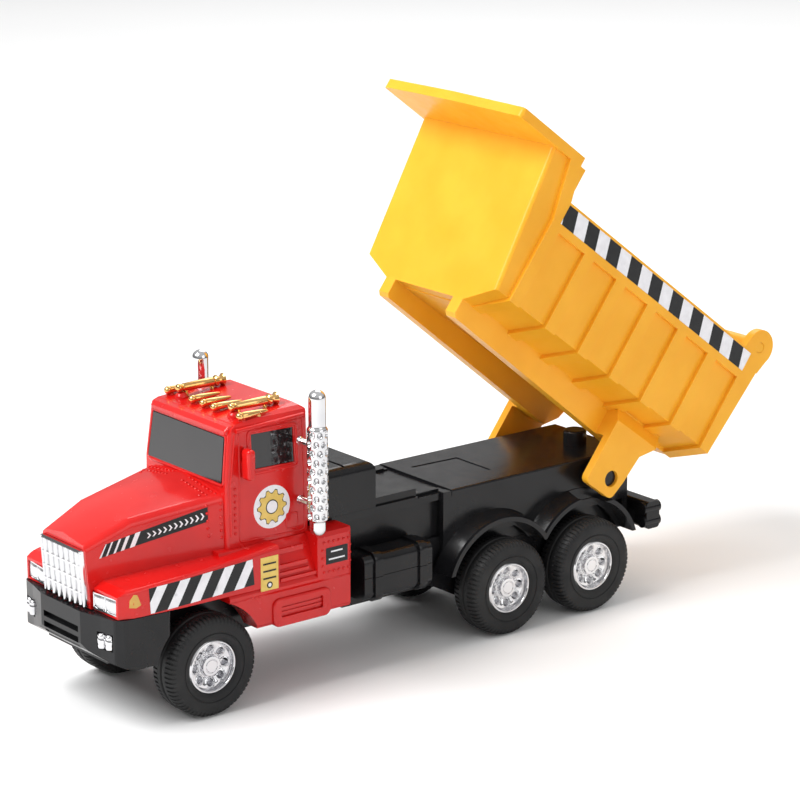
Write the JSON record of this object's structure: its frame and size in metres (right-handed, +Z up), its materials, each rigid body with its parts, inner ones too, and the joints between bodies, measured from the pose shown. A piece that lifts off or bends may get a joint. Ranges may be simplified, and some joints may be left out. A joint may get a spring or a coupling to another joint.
{
  "type": "toy dump truck",
  "caption": "Die-cast style toy dump truck with a red conventional cab, black chassis, plated wheels on three axles and a tipping yellow bed with a top-hung gate.",
  "frame": {"origin": "bottom centre of the whole truck's box at rest, on the ground the tyres stand on, with the bed raised", "axes": "+X forward to the bonnet, +Y to the truck's left, +Z up"},
  "size_m": [0.155, 0.04, 0.1026],
  "materials": {
    "red_paint": "glossy red enamel on a die casting",
    "smoked_window": "dark smoked clear plastic, polished",
    "bright_plating": "vacuum plated plastic, mirror bright",
    "gold_plating": "gold vacuum plated plastic",
    "black_plastic": "satin black moulding",
    "yellow_plastic": "semi-gloss yellow moulding",
    "tyre_rubber": "matte soft black vinyl",
    "steel": "bright drawn wire and plated screws"
  },
  "bodies": {
    "truck": {"cab_shell": "red_paint", "window_glazing": "smoked_window", "grille_and_headlamps": "bright_plating", "fog_lamps": "bright_plating", "exhaust_stack_left": "bright_plating", "exhaust_stack_right": "bright_plating", "roof_horns": "gold_plating", "roof_marker_lamps": "gold_plating", "chassis_deck": "black_plastic", "chassis_base": "black_plastic", "deck_knob": "black_plastic", "base_screws": "steel"},
    "front_wheelset": {"front_axle": "steel", "front_left_hub": "bright_plating", "front_right_hub": "bright_plating", "front_left_tyre": "tyre_rubber", "front_right_tyre": "tyre_rubber"},
    "middle_wheelset": {"middle_axle": "steel", "middle_left_hub": "bright_plating", "middle_right_hub": "bright_plating", "middle_left_tyre": "tyre_rubber", "middle_right_tyre": "tyre_rubber"},
    "rear_wheelset": {"rear_axle": "steel", "rear_left_hub": "bright_plating", "rear_right_hub": "bright_plating", "rear_left_tyre": "tyre_rubber", "rear_right_tyre": "tyre_rubber"},
    "tipping_bed": {"dump_bed": "yellow_plastic"},
    "gate": {"tailgate": "yellow_plastic"}
  },
  "joints": [
    {"name": "front_wheels_roll", "type": "hinge", "parent": "truck", "child": "front_wheelset", "pos_m": [0.05673, 0, 0.0093], "axis": [0, 1, 0], "continuous": true},
    {"name": "middle_wheels_roll", "type": "hinge", "parent": "truck", "child": "middle_wheelset", "pos_m": [-0.01207, 0, 0.0093], "axis": [0, 1, 0], "continuous": true},
    {"name": "rear_wheels_roll", "type": "hinge", "parent": "truck", "child": "rear_wheelset", "pos_m": [-0.03337, 0, 0.0093], "axis": [0, 1, 0], "continuous": true},
    {"name": "bed_tip", "type": "hinge", "parent": "truck", "child": "tipping_bed", "pos_m": [-0.03907, 0, 0.0255], "axis": [0, 1, 0], "range_deg": [-8.1, 38.8]},
    {"name": "gate_swing", "type": "hinge", "parent": "tipping_bed", "child": "gate", "pos_m": [-0.07393, 0, 0.0471], "axis": [0, 1, 0], "range_deg": [0, 75]}
  ]
}
